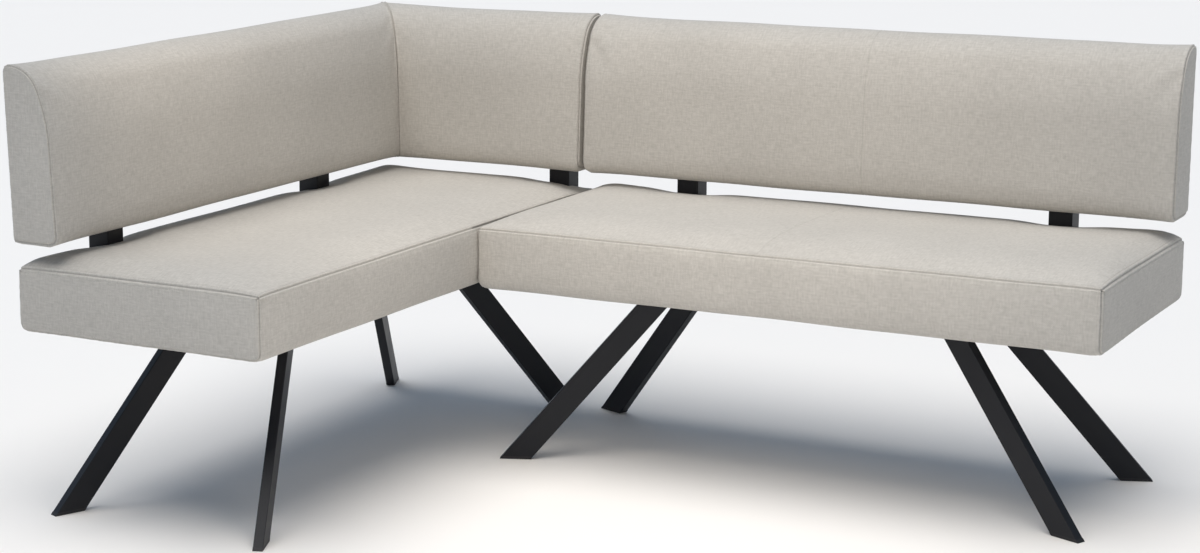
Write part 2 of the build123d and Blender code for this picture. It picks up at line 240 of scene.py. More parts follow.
@dataclass(frozen=True)
class SawnWood(Finish):
    """Raw softwood, plywood or cut foam: pale, matt, with grain drawn out along one axis."""

    title: str = "raw_softwood"
    pale: str = "#D8B98B"
    dark: str = "#B78F5E"
    ring: float = 5.0 * MM
    drawn: float = 160.0 * MM

    def shader(self, tree: Any) -> Any:
        """Draw the grain as noise that is close across it and long along it.

        Args:
            tree: node tree of the material.

        Returns:
            The shader's output.
        """
        where = add_node(tree, "TexCoord", {}, "Object")
        scale = (1 / self.drawn, 1 / self.ring, 1 / self.ring)
        turned = add_node(tree, "Mapping", {"Vector": where, "Scale": scale})
        noise = {"Vector": turned, "Scale": 1.0, "Detail": 5.0, "Distortion": 0.6}
        grain = add_node(tree, "TexNoise", noise)
        inks = {MIX_SHARE: grain, MIX_A: linear(self.dark), MIX_B: linear(self.pale)}
        colour = add_node(tree, "Mix", inks, MIX_OUT, data_type="RGBA")
        bump = add_node(tree, "Bump", {"Height": grain, "Strength": 0.3, "Distance": 0.3 * MM})
        return add_node(tree, "BsdfPrincipled", {"Base Color": colour, "Roughness": 0.75, "Normal": bump})


@dataclass(frozen=True)
class DullBlack(Finish):
    """Moulded nylon or spun-bonded sheet in black: dull, with a fine even grain."""

    title: str = "moulded_nylon"
    colour: str = "#141416"
    worn: str = "#1E1E20"
    grain: float = 1.2 * MM
    rough: float = 0.6

    def shader(self, tree: Any) -> Any:
        """Dull the surface with cells of the grain's size.

        Args:
            tree: node tree of the material.

        Returns:
            The shader's output.
        """
        where = add_node(tree, "TexCoord", {}, "Object")
        cells = add_node(tree, "TexVoronoi", {"Vector": where, "Scale": 1 / self.grain})
        inks = {MIX_SHARE: cells, MIX_A: linear(self.colour), MIX_B: linear(self.worn)}
        colour = add_node(tree, "Mix", inks, MIX_OUT, data_type="RGBA")
        bump = add_node(tree, "Bump", {"Height": cells, "Strength": 0.3, "Distance": 0.15 * MM})
        surface = {"Base Color": colour, "Roughness": self.rough, "Normal": bump}
        return add_node(tree, "BsdfPrincipled", surface)


@dataclass(frozen=True)
class CloudyGloss(Finish):
    """Zinc-plated steel, cloudy from the bath, or floor paint: one colour with an uneven gloss."""

    title: str = "zinc_plated_steel"
    colour: str = "#A9ACB0"
    cloud: float = 6.0 * MM
    detail: float = 3.0
    rough: tuple[float, float] = (0.3, 0.55)
    metal: float = 1.0

    def shader(self, tree: Any) -> Any:
        """Show the cloudiness as uneven roughness.

        Args:
            tree: node tree of the material.

        Returns:
            The shader's output.
        """
        where = add_node(tree, "TexCoord", {}, "Object")
        noise = {"Vector": where, "Scale": 1 / self.cloud, "Detail": self.detail}
        cloud = add_node(tree, "TexNoise", noise)
        rough = add_node(tree, "MapRange", {"Value": cloud, "To Min": self.rough[0], "To Max": self.rough[1]})
        surface = {"Base Color": linear(self.colour), "Metallic": self.metal, "Roughness": rough}
        return add_node(tree, "BsdfPrincipled", surface)


CLOTH = MelangeWeave()
THREAD = SewingThread()
FLOOR_PAINT = CloudyGloss("pale_floor_paint", "#F2EFEB", 1 / 3, 2.0, (0.75, 0.85), 0.0)
SLOT_FINISHES: dict[str, Finish] = {
    "fabric": CLOTH,
    "foam": SawnWood("upholstery_foam", "#E9E1C8", "#DDD3B6", 3.0 * MM, 3.0 * MM),
    "plywood": SawnWood("birch_plywood", "#DEC7A0", "#C4A578", 3.0 * MM, 220.0 * MM),
    "timber": SawnWood(),
    "lining": DullBlack("spun_bonded_lining", "#101011", "#1B1B1C", 2.2 * MM, 0.9),
    "black_steel": PowderCoat(),
    "glide_plastic": DullBlack(),
    "zinc_steel": CloudyGloss(),
}


def unit(vectors: np.ndarray) -> np.ndarray:
    """Scale each row to a length of one."""
    return vectors / np.linalg.norm(vectors, axis=1, keepdims=True)


def bell(distance: np.ndarray, reach: float) -> np.ndarray:
    """Bell curve: 1 at no distance, and e to the minus square of the distance over the reach elsewhere."""
    return np.exp(-((distance / reach) ** 2))


def ease(x: np.ndarray, low: float, high: float) -> np.ndarray:
    """Rise smoothly from 0 at low to 1 at high."""
    t = np.clip((x - low) / (high - low), 0, 1)
    return t * t * (3 - 2 * t)


def lengths_along(points: np.ndarray) -> np.ndarray:
    """Length from the first point to each point, along the line through them."""
    return np.concatenate([[0.0], np.cumsum(np.linalg.norm(np.diff(points, axis=0), axis=1))])


def read_between(values: np.ndarray, places: np.ndarray, wanted: np.ndarray) -> np.ndarray:
    """Read rows of values between their places in straight steps."""
    return np.stack([np.interp(wanted, places, column) for column in values.T], axis=1)


def resample(values: np.ndarray, places: np.ndarray, wanted: np.ndarray) -> np.ndarray:
    """Read a row of values between its stations with a cubic curve through each neighbouring pair.

    Args:
        values: values, stations first.
        places: rising stations of the values.
        wanted: stations to read.

    Returns:
        Values at the wanted stations, with the other axes as they were.
    """
    slopes = np.gradient(values, places, axis=0)
    left = np.clip(np.searchsorted(places, wanted, side="right") - 1, 0, len(places) - 2)
    shape = (-1,) + (1,) * (values.ndim - 1)
    span = (places[left + 1] - places[left]).reshape(shape)
    t = np.clip((wanted - places[left]).reshape(shape) / span, 0, 1)
    rise = t * t * (3 - 2 * t)
    return (
        values[left] * (1 - rise)
        + values[left + 1] * rise
        + slopes[left] * span * (t - 2 * t**2 + t**3)
        + slopes[left + 1] * span * (t**3 - t**2)
    )


def resample_both(
    values: np.ndarray, places: tuple[np.ndarray, ...], wanted: tuple[np.ndarray, ...]
) -> np.ndarray:
    """Read a table of values between its stations, first along its rows and then along its columns."""
    rows = resample(values, places[0], wanted[0])
    return resample(rows.swapaxes(0, 1), places[1], wanted[1]).swapaxes(0, 1)


def spread(length: float, step: float, seams: list[float], rows: np.ndarray) -> np.ndarray:
    """Choose stations along a length: even ones, and close ones on both sides of each seam.

    Args:
        length: the whole length.
        step: space between even stations.
        seams: where the seams are.
        rows: distances from a seam that need a station.

    Returns:
        Rising stations from 0 to the length.
    """
    end_room, even_room = 0.3 * MM, 0.4 * step
    even = np.linspace(0.0, length, max(3, round(length / step) + 1))[1:-1]
    close = (np.array(seams)[:, None] + np.concatenate([-rows, rows])[None, :]).ravel()
    close = np.unique(np.round(close[(close > end_room) & (close < length - end_room)], 7))
    kept = np.concatenate([close, [0.0, length]])
    even = even[np.abs(even[:, None] - kept[None, :]).min(axis=1) > even_room]
    return np.sort(np.concatenate([even, kept]))


class Edge(IntEnum):
    """The four long edges of a cushion, in order round its outline."""

    REAR_LOW = 0
    FRONT_LOW = 1
    FRONT_TOP = 2
    REAR_TOP = 3


class End(Enum):
    """The two ends of a cushion's path."""

    START = "start"
    FINISH = "finish"


@dataclass(frozen=True)
class Outline:
    """A closed section in the plane across a run: forward and up, drawn round from the rear bottom corner."""

    corners: tuple[tuple[float, float], ...]
    radii: tuple[float, ...]
    edges: tuple[int, int, int, int]

    def trace(self) -> tuple[np.ndarray, np.ndarray, np.ndarray]:
        """Draw each corner as an arc tangent to its two lines.

        Returns:
            Points of the outline from the middle of its first corner, their lengths along it, and the
            lengths at its four edges, with the whole length last.
        """
        turns = 17
        corner = np.array(self.corners)
        radius = np.array(self.radii)
        arrive = unit(corner - np.roll(corner, 1, axis=0))
        leave = np.roll(arrive, -1, axis=0)
        angle = np.arccos(np.clip((arrive * leave).sum(axis=1), -1, 1))
        start = corner - arrive * (radius * np.tan(angle / 2))[:, None]
        inward = np.stack([-arrive[:, 1], arrive[:, 0]], axis=1)
        sweep = angle[:, None] * np.linspace(0, 1, turns)[None, :]
        arcs = (
            start[:, None, :]
            + (radius[:, None] * np.sin(sweep))[..., None] * arrive[:, None, :]
            + (radius[:, None] * (1 - np.cos(sweep)))[..., None] * inward[:, None, :]
        )
        ring = np.roll(arcs.reshape(-1, 2), -(turns // 2), axis=0)
        ring = np.vstack([ring, ring[:1]])
        lengths = lengths_along(ring)
        return ring, lengths, np.array([lengths[edge * turns] for edge in self.edges] + [lengths[-1]])


def quads(table: np.ndarray) -> np.ndarray:
    """Four-sided faces between neighbouring rows and columns of a table of corner numbers."""
    return np.stack([table[:-1, :-1], table[1:, :-1], table[1:, 1:], table[:-1, 1:]], axis=-1).reshape(-1, 4)


@dataclass(frozen=True)
class Lattice:
    """Stations of a sewn body: along its path, shares of its flat and upright sides, and its edges."""

    path: np.ndarray
    flat: np.ndarray
    upright: np.ndarray
    marks: np.ndarray

    @property
    def ring(self) -> np.ndarray:
        """Find the lengths round the outline of the stations on its four sides.

        Returns:
            Rising lengths, the last one left out on each side.
        """
        shares = (self.flat, self.upright, 1 - self.flat[::-1], 1 - self.upright[::-1])
        spans = zip(self.marks, np.diff(self.marks), shares)
        return np.concatenate([start + share[:-1] * span for start, span, share in spans])

    def sides(self, ring: np.ndarray) -> tuple[np.ndarray, ...]:
        """Split a ring of values into its four sides.

        Args:
            ring: one value or row for each station round the outline.

        Returns:
            Bottom and top from the rear forwards, and front and rear upwards, as bottom, front, top and rear.
        """
        n, m = len(self.flat) - 1, len(self.upright) - 1
        closed = np.concatenate([ring, ring[:1]])
        bottom, front = closed[: n + 1], closed[n : n + m + 1]
        return bottom, front, closed[n + m : 2 * n + m + 1][::-1], closed[2 * n + m :][::-1]

    def knit(self) -> tuple[np.ndarray, list[np.ndarray]]:
        """Number the corners of every face.

        Returns:
            Four-sided faces, and for each end panel the corner numbers by flat and upright share.
        """
        inner = (len(self.flat) - 2, len(self.upright) - 2)
        count = len(self.path) * len(self.ring)
        grid = np.arange(count).reshape(len(self.path), -1)
        faces, panels = [quads(np.hstack([grid, grid[:, :1]]))[:, [0, 3, 2, 1]]], []
        for ring in (grid[0], grid[-1]):
            panel = np.empty((len(self.flat), len(self.upright)), dtype=int)
            panel[1:-1, 1:-1] = count + np.arange(inner[0] * inner[1]).reshape(inner)
            panel[:, 0], panel[-1, :], panel[:, -1], panel[0, :] = self.sides(ring)
            count += inner[0] * inner[1]
            faces.append(quads(panel))
            panels.append(panel)
        return np.concatenate(faces), panels


@dataclass(frozen=True)
class Lane:
    """A run of seat or back in plan: where it starts, which way it goes and which way it faces."""

    origin: tuple[float, float]
    along: tuple[float, float]
    forward: tuple[float, float]

    def place(self, along: np.ndarray, forward: np.ndarray, up: np.ndarray) -> np.ndarray:
        """Turn distances along, forward and up into points of the bench's frame."""
        x, y = (self.origin[k] + along * self.along[k] + forward * self.forward[k] for k in (0, 1))
        return np.stack(np.broadcast_arrays(x, y, up), axis=-1)

    def measure(self, node: str) -> tuple[float, float]:
        """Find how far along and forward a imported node's middle is.

        Args:
            node: name of the node.

        Returns:
            Distance along the lane and forward of it.
        """
        low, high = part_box(node)
        x, y = (low.x + high.x) / 2 - self.origin[0], (low.y + high.y) / 2 - self.origin[1]
        return x * self.along[0] + y * self.along[1], x * self.forward[0] + y * self.forward[1]


@dataclass(frozen=True)
class Seam:
    """How a sewn seam shapes the cloth: a narrow valley, a welt beside it and a dent under the stitching.

    Shade is how far painted shade darkens the cloth's colour along the valley, stitched names the sides that
    have stitches, 1 for the inner one, and hold is how firmly the seam holds the cloth while it swells.
    """

    valley: float = 2.4 * MM
    width: float = 1.6 * MM
    welt: float = 0.45 * MM
    welt_place: float = 3.6 * MM
    welt_width: float = 1.6 * MM
    stitch_row: float = 7.0 * MM
    dent: float = 0.55 * MM
    dent_width: float = 1.5 * MM
    pucker: float = 0.28 * MM
    pucker_pitch: float = 14.0 * MM
    pucker_reach: float = 11.0 * MM
    pucker_drift: float = 1.7
    drift_rate: float = 0.137
    shade: float = 0.42
    shade_width: float = 0.7
    stitched: tuple[int, ...] = (1,)
    hold: float = 1.0

    def relief(self, gap: np.ndarray, along: np.ndarray) -> np.ndarray:
        """Height over the plain cloth: bell curves of the distance from the seam, rippled along it.

        Args:
            gap: distance from the seam.
            along: distance along the seam, which turns the ripple's drifting phase.

        Returns:
            Height along the outward normal.
        """
        gap = np.abs(gap)
        phase = 2 * math.pi * along / self.pucker_pitch
        ripple = np.sin(phase + self.pucker_drift * np.sin(phase * self.drift_rate))
        return (
            -self.valley * bell(gap, self.width)
            + self.welt * bell(gap - self.welt_place, self.welt_width)
            - self.dent * bell(gap - self.stitch_row, self.dent_width)
            + self.pucker * ripple * bell(gap, self.pucker_reach)
        )

    def painted_seam_shade(self, gap: np.ndarray) -> np.ndarray:
        """Painted shade in the seam: how much the cloth's colour is darkened, a bell curve of the distance
        from it.
        """
        return self.shade * bell(gap, self.shade_width * self.width)


SEAM_ROWS = np.array([0.0, 0.9, 1.8, 2.8, 4.0, 5.4, 7.0, 8.6, 11.0, 15.0]) * MM
SETTLE_TURNS = np.array([(11.3, 7.1, 3.0), (-6.7, 13.9, 9.0), (23.0, -17.0, 15.0)])
SETTLE_PHASES = np.array([0.0, 1.3, 0.4])
AWAY = 1.0  # a distance in metres at which no seam has an effect
FLAT = Seam(valley=0.0, welt=0.0, dent=0.0, pucker=0.0, stitched=())


class SeamKind(Enum):
    """The seams: boxed edges, back ends, butted ends and their painted shadow, painted corner shade, mitre,
    joins.
    """

    # A seam's shade is painted shade: the cloth's colour is drawn darker along its valley, where light falls
    # less.
    SEAT_EDGE = Seam()
    BACK_EDGE = Seam(stitch_row=4.0 * MM, dent=0.3 * MM)
    # The butted end's valley is real geometry, and its full shade is a painted dark line for the shade in the
    # gap between the units.
    BUTTED = Seam(width=2.6 * MM, shade=1.0, stitched=())
    # Painted shadow only: no relief, just the cloth's colour darkened where the next seat butts on.
    SHADOW = replace(FLAT, width=3.0 * MM, shade=1.0)
    # Painted shade only: no relief, just a dark spot drawn where the seams meet at a corner.
    PAINTED_CORNER_SHADE = replace(FLAT, width=5.0 * MM, shade=0.75)
    MITRE = Seam(
        valley=0.6 * MM, width=1.1 * MM, welt=1.4 * MM, stitch_row=4.0 * MM, dent=0.0,
        pucker=0.35 * MM, pucker_pitch=22.0 * MM, shade=0.25, stitched=(-1, 1),
    )
    JOIN = Seam(
        valley=0.6 * MM, width=1.3 * MM, welt=0.2 * MM, stitch_row=5.4 * MM, dent=0.1 * MM,
        pucker=0.12 * MM, shade=0.16, stitched=(), hold=0.2,
    )


@dataclass(frozen=True)
class Stitches:
    """Top stitching: short pale stitches in a row, each a flat-ended spindle of six sides."""

    pitch: float = 6.2 * MM
    length: float = 4.8 * MM
    width: float = 1.15 * MM
    height: float = 0.8 * MM
    proud: float = 0.3

    def solids(self, rows: list[tuple[np.ndarray, np.ndarray]]) -> tuple[np.ndarray, np.ndarray]:
        """Set stitches along rows of points. A stitch is four rings, each a share of its length and girth.

        Args:
            rows: points of each row, with the cloth's normals there.

        Returns:
            Corners of all stitches and the four-sided faces between them.
        """
        sides = 6
        shares, girths = np.array([(-0.5, 0.45), (-0.3, 1.0), (0.3, 1.0), (0.5, 0.45)]).T
        turn = np.linspace(0, 2 * math.pi, sides, endpoint=False)
        across = (girths[:, None] * np.cos(turn)).ravel() * self.width / 2
        tall = (girths[:, None] * np.sin(turn)).ravel() * self.height / 2
        template = np.stack([np.repeat(shares * self.length, sides), across, tall], axis=1)
        ring = np.arange(sides)
        band = np.stack([ring, np.roll(ring, -1), sides + np.roll(ring, -1), sides + ring], axis=1)
        skin = (sides * np.arange(len(shares) - 1)[:, None, None] + band).reshape(-1, 4)
        lids = np.array([[0, 5, 4, 3], [0, 3, 2, 1], [18, 19, 20, 21], [18, 21, 22, 23]])
        pattern = np.concatenate([skin, lids])
        corners = []
        for points, normals in rows:
            length = lengths_along(points)
            middle = np.arange(self.pitch / 2, length[-1], self.pitch)
            steps = (middle - self.pitch / 3, middle + self.pitch / 3)
            before, after = (read_between(points, length, step) for step in steps)
            run = unit(after - before)
            across = unit(np.cross(read_between(normals, length, middle), run))
            up = np.cross(run, across)
            base = read_between(points, length, middle) + up * self.height * self.proud
            axes = np.stack([run, across, up], axis=1)
            placed = base[:, None, :] + np.einsum("tk,nkc->ntc", template, axes)
            corners.append(placed.reshape(-1, 3))
        corners = np.concatenate(corners)
        starts = np.arange(0, len(corners), len(template))
        return corners, (starts[:, None, None] + pattern).reshape(-1, 4)


def new_mesh(name: str, points: np.ndarray, faces: np.ndarray) -> Any:
    """Make a smooth mesh object at the origin from points and four-sided faces.

    Args:
        name: name of the object and its mesh.
        points: corners, one row each.
        faces: four corner numbers a row.

    Returns:
        The object, linked to the scene, with its faces turned outwards.
    """
    mesh = bpy.data.meshes.new(name)
    mesh.from_pydata(points, [], faces.tolist())
    shaped = bmesh.new()
    shaped.from_mesh(mesh)
    bmesh.ops.recalc_face_normals(shaped, faces=shaped.faces)
    shaped.to_mesh(mesh)
    shaped.free()
    mesh.polygons.foreach_set("use_smooth", np.ones(len(mesh.polygons), dtype=bool))
    obj = bpy.data.objects.new(name, mesh)
    bpy.context.scene.collection.objects.link(obj)
    return obj


@dataclass(frozen=True)
class Swell:
    """Cloth simulation that blows a body up a little against its seams."""

    pressure: float = 4.0
    frames: int = 20
    limit: float = 4.0 * MM
    mass: float = 0.3
    quality: int = 6
    tension: float = 30.0
    bending: float = 4.0

    def run(self, points: np.ndarray, faces: np.ndarray, held: np.ndarray) -> np.ndarray:
        """Simulate the body and measure how far each point moved.

        Args:
            points: corners of a closed body.
            faces: its four-sided faces.
            held: how firmly each point is held, from 0 to 1.

        Returns:
            Movement of each point, eased off towards the limit.
        """
        scene = bpy.context.scene
        body = new_mesh("swelling_body", points, faces)
        group = body.vertex_groups.new(name="held")
        for weight in np.unique(held[held > 0]):
            group.add(np.flatnonzero(held == weight).tolist(), float(weight), "REPLACE")
        settings = body.modifiers.new("cloth", "CLOTH").settings
        settings.quality = self.quality
        settings.mass = self.mass
        settings.tension_stiffness = self.tension
        settings.compression_stiffness = self.tension
        settings.shear_stiffness = self.tension / 3
        settings.bending_stiffness = self.bending
        settings.use_pressure = True
        settings.uniform_pressure_force = self.pressure
        settings.effector_weights.gravity = 0.0
        settings.vertex_group_mass = "held"
        for number in range(1, self.frames + 1):
            scene.frame_set(number)
        shaped = body.evaluated_get(bpy.context.evaluated_depsgraph_get())
        moved = np.empty(len(points) * 3)
        shaped.data.vertices.foreach_get("co", moved)
        scene.frame_set(1)
        mesh = body.data
        bpy.data.objects.remove(body)
        bpy.data.meshes.remove(mesh)
        shift = moved.reshape(-1, 3) - points
        size = np.linalg.norm(shift, axis=1, keepdims=True)
        return shift * self.limit * np.tanh(size / self.limit) / np.maximum(size, 1e-9)


@dataclass(kw_only=True)
class SewnBody:
    """A cushion sewn from panels: an outline carried along a lane and closed by two end panels.

    Bulge is how far its sides swell out between their seams. Step and coarse space the stations of the
    finished and of the simulated body, normal_reach is the step over which normals are measured, hold_reach
    is how far a seam holds the cloth, and stitch_room is what stitches leave free at crossing seams, and
    twice over at the hem.
    """

    name: str
    stands_for: tuple[str, ...]
    lane: Lane
    length: float
    end_radius: float
    edge: SeamKind = SeamKind.SEAT_EDGE
    bulge: float = 0.0
    fill: float = 0.9
    step: float = 9.0 * MM
    coarse: float = 18.0 * MM
    normal_reach: float = 0.7 * MM
    hold_reach: float = 9.0 * MM
    stitch_room: float = 6.0 * MM
    uneven: float = 0.35 * MM

    def outline(self) -> Outline:
        """Section of the body."""
        raise NotImplementedError

    def shape(self, along: np.ndarray, forward: np.ndarray, up: np.ndarray) -> np.ndarray:
        """Turn distances along, forward and up into points, with the body's own soft forms."""
        raise NotImplementedError

    def course(self) -> float:
        """Length of the path along the body: its length, less what the two rounded end edges save."""
        return self.length - 2 * self.bulge - 2 * self.end_radius + math.pi * self.end_radius

    def cross_seams(self) -> list[tuple[float, SeamKind]]:
        """All seams round the body, in order along the path."""
        return self.end_seams()

    def end_seams(self) -> list[tuple[float, SeamKind]]:
        """Seams round the two end edges: where on the path each is, and its kind."""
        quarter = math.pi * self.end_radius / 4
        return [(quarter, self.edge), (self.course() - quarter, self.edge)]

    def long_seams(self) -> list[Edge]:
        """Edges with a seam along the body."""
        return []

    def rounded(self, path: np.ndarray, section: np.ndarray, normal: np.ndarray) -> tuple[np.ndarray, ...]:
        """Go round both end edges in quarter circles, where the section is drawn in along its normals.

        Args:
            path: stations along the path.
            section: forward and up of each station round the outline.
            normal: outward normals of the section there.

        Returns:
            Distances in from the start and from the finish by path, and forward and up by path and round.
        """
        radius = self.end_radius
        rim = np.stack([path, self.course() - path])
        angle = np.clip(math.pi / 2 - rim / radius, 0, math.pi / 2)
        near, far = radius * (1 - np.sin(angle)) + np.maximum(rim - math.pi * radius / 2, 0)
        inset = (radius * (1 - np.cos(angle))).max(axis=0)[:, None]
        forward, up = (section[None, :, axis] - inset * normal[None, :, axis] for axis in (0, 1))
        return near, far, forward, up

    def lay(self, path: np.ndarray, section: np.ndarray, normal: np.ndarray) -> np.ndarray:
        """Carry the section straight along the lane between the two rounded ends.

        Args:
            path: stations along the path.
            section: forward and up of each station round the outline.
            normal: outward normals of the section there.

        Returns:
            Points by path, then round.
        """
        near, far, forward, up = self.rounded(path, section, normal)
        total = self.length - 2 * self.bulge
        along = np.where(path < self.course() / 2, near, total - far) + self.bulge
        return self.shape(along[:, None], forward, up)

    def close(self, panel: np.ndarray, end: End) -> np.ndarray:
        """Place an end panel, given as forward and up, upright across the lane."""
        along = self.bulge if end is End.START else self.length - self.bulge
        return self.shape(np.full(panel.shape[:2], along), panel[..., 0], panel[..., 1])

    def lattice(self, step: float, rows: np.ndarray) -> Lattice:
        """Choose the body's stations.

        Args:
            step: space between even stations.
            rows: distances from a seam that need a station.

        Returns:
            The stations, close to each other beside the seams.
        """
        marks = self.outline().trace()[2]
        flat = marks[Edge.REAR_TOP] - marks[Edge.FRONT_TOP]
        upright = marks[Edge.FRONT_TOP] - marks[Edge.FRONT_LOW]
        path = spread(self.course(), step, [place for place, _ in self.cross_seams()], rows)
        long_rows = rows if self.long_seams() else rows[:1]
        across = spread(flat, step, [0.0, flat], long_rows) / flat
        return Lattice(path, across, spread(upright, step, [upright], long_rows) / upright, marks)

    def surface(self, lattice: Lattice) -> tuple[np.ndarray, list[np.ndarray]]:
        """Work out the body and its end panels.

        An end panel is a Coons patch: opposite sides of its rim are blended, less the blend of its corners.

        Args:
            lattice: stations of the body.

        Returns:
            Points by path and round, and the points of the two end panels by flat and upright share.
        """
        ring, places, marks = self.outline().trace()
        steps = (-self.normal_reach, 0.0, self.normal_reach)
        before, section, after = (read_between(ring, places, (lattice.ring + k) % marks[-1]) for k in steps)
        tangent = unit(after - before)
        normal = np.stack([tangent[:, 1], -tangent[:, 0]], axis=1)
        bottom, front, top, rear = lattice.sides(section - normal * self.end_radius)
        a, b = lattice.flat[:, None, None], lattice.upright[None, :, None]
        panel = (
            (1 - b) * bottom[:, None]
            + b * top[:, None]
            + (1 - a) * rear[None]
            + a * front[None]
            - (1 - a) * (1 - b) * bottom[0]
            - a * (1 - b) * bottom[-1]
            - (1 - a) * b * top[0]
            - a * b * top[-1]
        )
        return self.lay(lattice.path, section, normal), [self.close(panel, end) for end in End]

    def gather(self, body: np.ndarray, panels: list[np.ndarray]) -> np.ndarray:
        """All points in the order of the corner numbers."""
        inner = [panel[1:-1, 1:-1].reshape(-1, 3) for panel in panels]
        return np.concatenate([body.reshape(-1, 3), *inner])

    def seam_gaps(self, lattice: Lattice) -> list[tuple[np.ndarray, np.ndarray, Seam]]:
        """Measure the body's points from each seam.

        Args:
            lattice: stations of the body.

        Returns:
            For each seam, the points' distance from it and along it, and the seam.
        """
        path, ring, whole = lattice.path[:, None], lattice.ring[None, :], lattice.marks[-1]
        gaps = [(path - place, ring, kind.value) for place, kind in self.cross_seams()]
        for edge in self.long_seams():
            gap = (ring - lattice.marks[edge] + whole / 2) % whole - whole / 2
            gaps.append((gap, path, self.edge.value))
        return gaps

    def swell(self, fine: Lattice, simulation: Swell) -> tuple[np.ndarray, list[np.ndarray]]:
        """Simulate an even, coarser body, held at its seams and underneath, and read its movement.

        Args:
            fine: stations to read.
            simulation: the cloth simulation.

        Returns:
            Movement of the body's points and of the two end panels' points.
        """
        coarse = self.lattice(self.coarse, SEAM_ROWS[:1])
        points = self.gather(*self.surface(coarse))
        faces, panels = coarse.knit()
        ring, whole = coarse.ring, coarse.marks[-1]
        firm = np.zeros((len(coarse.path), len(ring)))
        for gap, _, seam in self.seam_gaps(coarse):
            firm = np.maximum(firm, seam.hold * bell(gap, self.hold_reach))
        firm[:, ring < coarse.marks[Edge.FRONT_LOW]] = 1.0
        held = np.zeros(len(points))
        held[: firm.size] = np.round(firm, 1).ravel()
        shift = simulation.run(points, faces, held)
        field = shift[: firm.size].reshape(*firm.shape, 3)
        lap = 3  # stations repeated on both sides of the outline's start, for the cubic curve
        wrapped = np.concatenate([ring[-lap:] - whole, ring, ring[:lap] + whole])
        field = np.concatenate([field[:, -lap:], field, field[:, :lap]], axis=1)
        moved = resample_both(field, (coarse.path, wrapped), (fine.path, fine.ring))
        flats, uprights = (coarse.flat, coarse.upright), (fine.flat, fine.upright)
        return moved, [resample_both(shift[panel], flats, uprights) for panel in panels]

    def settle(self, points: np.ndarray) -> np.ndarray:
        """Soft unevenness of stuffed cloth: three slow, crossing sine waves, about a millimetre in all."""
        return self.uneven * np.sin(points @ SETTLE_TURNS.T + SETTLE_PHASES).sum(axis=1)

    def stitch_rows(self, lattice: Lattice) -> list[np.ndarray]:
        """Find the rows of top stitching, which leave out the underside and the lowest part of the front.

        Args:
            lattice: stations of the body.

        Returns:
            Corner numbers of each row, in order.
        """
        path, ring, marks = lattice.path, lattice.ring, lattice.marks
        grid = np.arange(len(path) * len(ring)).reshape(-1, len(ring))
        shown = np.flatnonzero(ring >= marks[Edge.FRONT_LOW] + 2 * self.stitch_room)
        seams, rows = self.cross_seams(), []
        for place, kind in seams:
            inward = 1 if place < self.course() / 2 else -1
            for side in kind.value.stitched:
                station = place + inward * side * kind.value.stitch_row
                rows.append(grid[np.abs(path - station).argmin(), shown])
        run = (path > seams[0][0] + self.stitch_room) & (path < seams[-1][0] - self.stitch_room)
        for edge in self.long_seams():
            onto_top = 1 if edge is Edge.FRONT_TOP else -1
            column = np.abs(ring - marks[edge] - onto_top * self.edge.value.stitch_row).argmin()
            rows.append(grid[run, column])
        return rows

    def weave(self, mesh: Any, lattice: Lattice) -> None:
        """Give the cloth its own coordinates in metres: along the path and round it, or across an end panel.

        Args:
            mesh: mesh of the body, with the end panels' faces last.
            lattice: stations of the body.
        """
        path, ring, marks = lattice.path, lattice.ring, lattice.marks
        corner = np.empty(len(mesh.loops), dtype=np.int32)
        mesh.loops.foreach_get("vertex_index", corner)
        corner = corner.reshape(-1, 4)
        where = np.empty(len(mesh.vertices) * 3)
        mesh.vertices.foreach_get("co", where)
        where = where.reshape(-1, 3)[corner]
        row, column = np.divmod(np.minimum(corner, len(path) * len(ring) - 1), len(ring))
        v = ring[column]
        past_start = (v.max(axis=1, keepdims=True) == ring[-1]) & (v < marks[Edge.FRONT_LOW] / 2)
        body = np.stack([path[row], np.where(past_start, v + marks[-1], v)], axis=-1)
        panel = np.stack([where[..., 0] + where[..., 1], where[..., 2]], axis=-1)
        on_body = np.arange(len(corner)) < (len(path) - 1) * len(ring)
        layer = mesh.uv_layers.new(name="cloth")
        layer.data.foreach_set("uv", np.where(on_body[:, None, None], body, panel).ravel())

    def build(self) -> tuple[Any, Any]:
        """Make the cushion and its stitching.

        Returns:
            The cushion's object and its stitches' object.
        """
        fine = self.lattice(self.step, SEAM_ROWS)
        body, panels = self.surface(fine)
        moved, ends = self.swell(fine, Swell())
        body = body + moved
        panels = [panel + end for panel, end in zip(panels, ends)]
        points = self.gather(body, panels)
        cushion = new_mesh(self.name, points, fine.knit()[0])
        mesh = cushion.data
        normals = np.empty(len(points) * 3)
        mesh.vertices.foreach_get("normal", normals)
        normals = normals.reshape(-1, 3)
        relief = self.settle(points)
        painted_seam_shade = np.zeros(len(points))
        on_body = slice(body.shape[0] * body.shape[1])
        # Relief shapes the seams in the geometry, and the seam shade is painted shade, kept per point to
        # darken the cloth's colour in the valleys.
        for gap, along, seam in self.seam_gaps(fine):
            relief[on_body] += seam.relief(gap, along).ravel()
            shade = np.broadcast_to(seam.painted_seam_shade(gap), body.shape[:2]).ravel()
            painted_seam_shade[on_body] = np.maximum(painted_seam_shade[on_body], shade)
        points = points + normals * relief[:, None]
        mesh.vertices.foreach_set("co", points.ravel())
        mesh.update()
        mesh.attributes.new("painted_seam_shade", "FLOAT", "POINT").data.foreach_set("value", painted_seam_shade)
        self.weave(mesh, fine)
        mesh.materials.append(CLOTH.material())
        rows = [(points[row], normals[row]) for row in self.stitch_rows(fine)]
        stitches = new_mesh(self.name + "_stitches", *Stitches().solids(rows))
        stitches.data.materials.append(THREAD.material())
        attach(cushion, "root")
        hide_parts(*self.stands_for)
        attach(stitches, "root")
        return cushion, stitches


